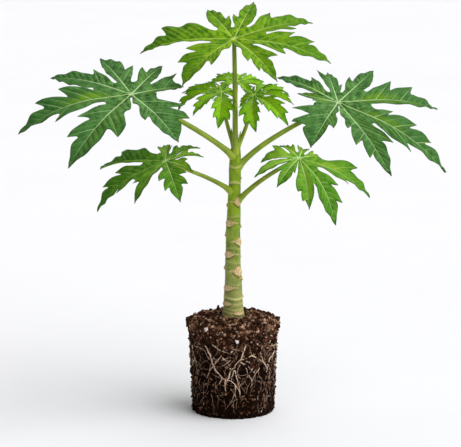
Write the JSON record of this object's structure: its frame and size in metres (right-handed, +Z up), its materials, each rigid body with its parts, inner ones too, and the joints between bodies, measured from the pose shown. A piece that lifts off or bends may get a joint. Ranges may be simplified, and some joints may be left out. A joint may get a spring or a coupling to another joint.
{
  "type": "papaya seedling",
  "caption": "Young papaya plant lifted from its pot: straight tapering trunk, long-stalked lobed leaves in an open crown, standing on its moulded root ball.",
  "frame": {"origin": "centre of the root ball's flat underside", "axes": "+Z up along the trunk, +X to the right in the front view, -Y towards the front"},
  "size_m": [0.7151, 0.3621, 0.692],
  "materials": {
    "soil": "matte",
    "root": "matte",
    "bark": "satin",
    "stalk": "satin",
    "leaf_grown": "satin",
    "leaf_low": "satin",
    "leaf_fresh": "satin"
  },
  "bodies": {
    "root": {"root_ball": "soil", "trunk": "bark", "stalk_upper_left": "stalk", "leaf_upper_left": "leaf_grown", "stalk_upper_right": "stalk", "leaf_upper_right": "leaf_grown", "stalk_top": "stalk", "leaf_top": "leaf_fresh", "stalk_lower_left": "stalk", "leaf_lower_left": "leaf_low", "stalk_lower_right": "stalk", "leaf_lower_right": "leaf_low", "stalk_young_left": "stalk", "leaf_young_left": "leaf_fresh", "stalk_young_right": "stalk", "leaf_young_right": "leaf_fresh", "stalk_young_back": "stalk", "leaf_young_back": "leaf_fresh", "root_front_1": "root", "root_front_2": "root", "root_front_3": "root", "root_front_4": "root", "root_round_1": "root", "root_round_2": "root", "root_round_3": "root", "root_round_4": "root", "root_round_5": "root", "root_round_6": "root", "root_round_7": "root"}
  },
  "joints": []
}
